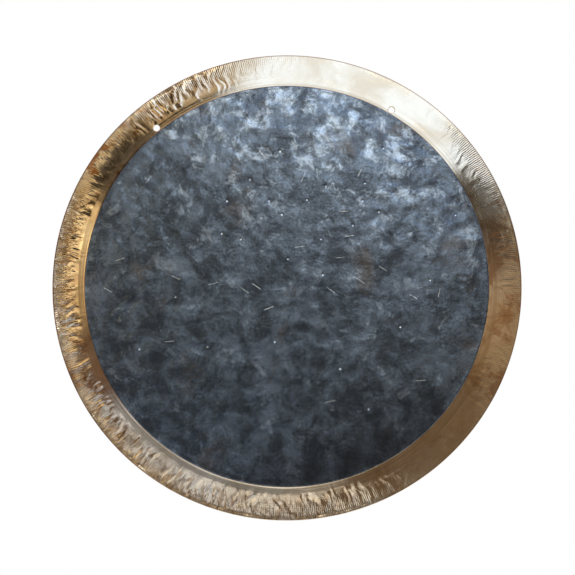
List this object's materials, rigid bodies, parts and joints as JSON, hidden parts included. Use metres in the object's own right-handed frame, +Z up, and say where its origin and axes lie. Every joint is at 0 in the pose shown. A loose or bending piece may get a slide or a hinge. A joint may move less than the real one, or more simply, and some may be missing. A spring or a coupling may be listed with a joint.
{
  "type": "feng gong",
  "caption": "Hung round gong of thin forged bronze, slightly dished, with a dark hammered centre, a bright lathed rim and cord holes near the top.",
  "frame": {"origin": "midway between the centres of the two cord holes, at half the depth of the wall there, where the cord carries the weight", "axes": "+Z up, from the disc's centre towards the hang point; -Y the way the struck, convex face looks; +X to the right as that face is seen"},
  "size_m": [0.56, 0.0159, 0.56],
  "materials": {
    "lathed_bronze": "bright lathed and hammered bronze, satin, metallic",
    "fire_scale": "dark blue-grey fire scale over hammered bronze, dull satin"
  },
  "bodies": {
    "root": {"gong_disc": "lathed_bronze"}
  },
  "joints": []
}
